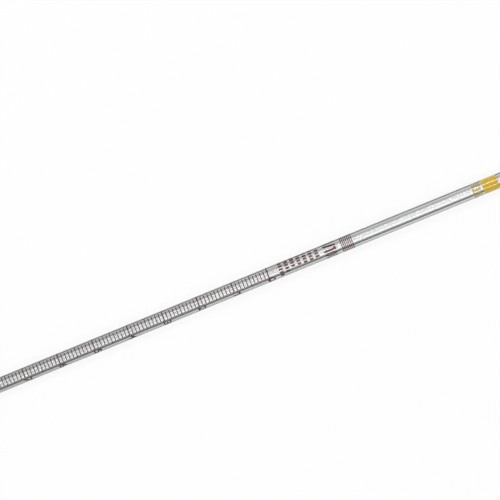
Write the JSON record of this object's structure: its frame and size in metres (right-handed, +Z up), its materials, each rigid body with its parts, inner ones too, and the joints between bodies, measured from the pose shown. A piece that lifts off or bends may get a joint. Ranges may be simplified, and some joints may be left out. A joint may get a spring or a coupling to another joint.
{
  "type": "serological pipette",
  "caption": "Clear graduated pipette for measured transfer of liquid: thick-walled tube drawn to a fine tip, printed volume scale, yellow code bands and a filter in the mouth.",
  "frame": {"origin": "under the middle of the pipette's length, on the surface that it lies on", "axes": "+X along the tube's axis, from the tip to the mouth; +Z up through the middle of the printed scale; +Y to the left of a reader who holds the pipette with its tip down"},
  "size_m": [0.2826, 0.006, 0.0061],
  "materials": {
    "clear_plastic": "clear polystyrene, smooth and glossy as drawn",
    "filter_fibre": "white packed fibre, matt",
    "scale_ink": "brown-red printed ink, satin",
    "pale_ink": "thin translucent pale yellow ink, satin",
    "yellow_ink": "translucent amber yellow ink, glossy"
  },
  "bodies": {
    "root": {"tube": "clear_plastic", "filter_plug": "filter_fibre", "graduation_lines": "scale_ink", "scale_numerals": "scale_ink", "label_print": "scale_ink", "pale_band": "pale_ink", "yellow_band": "yellow_ink"}
  },
  "joints": []
}
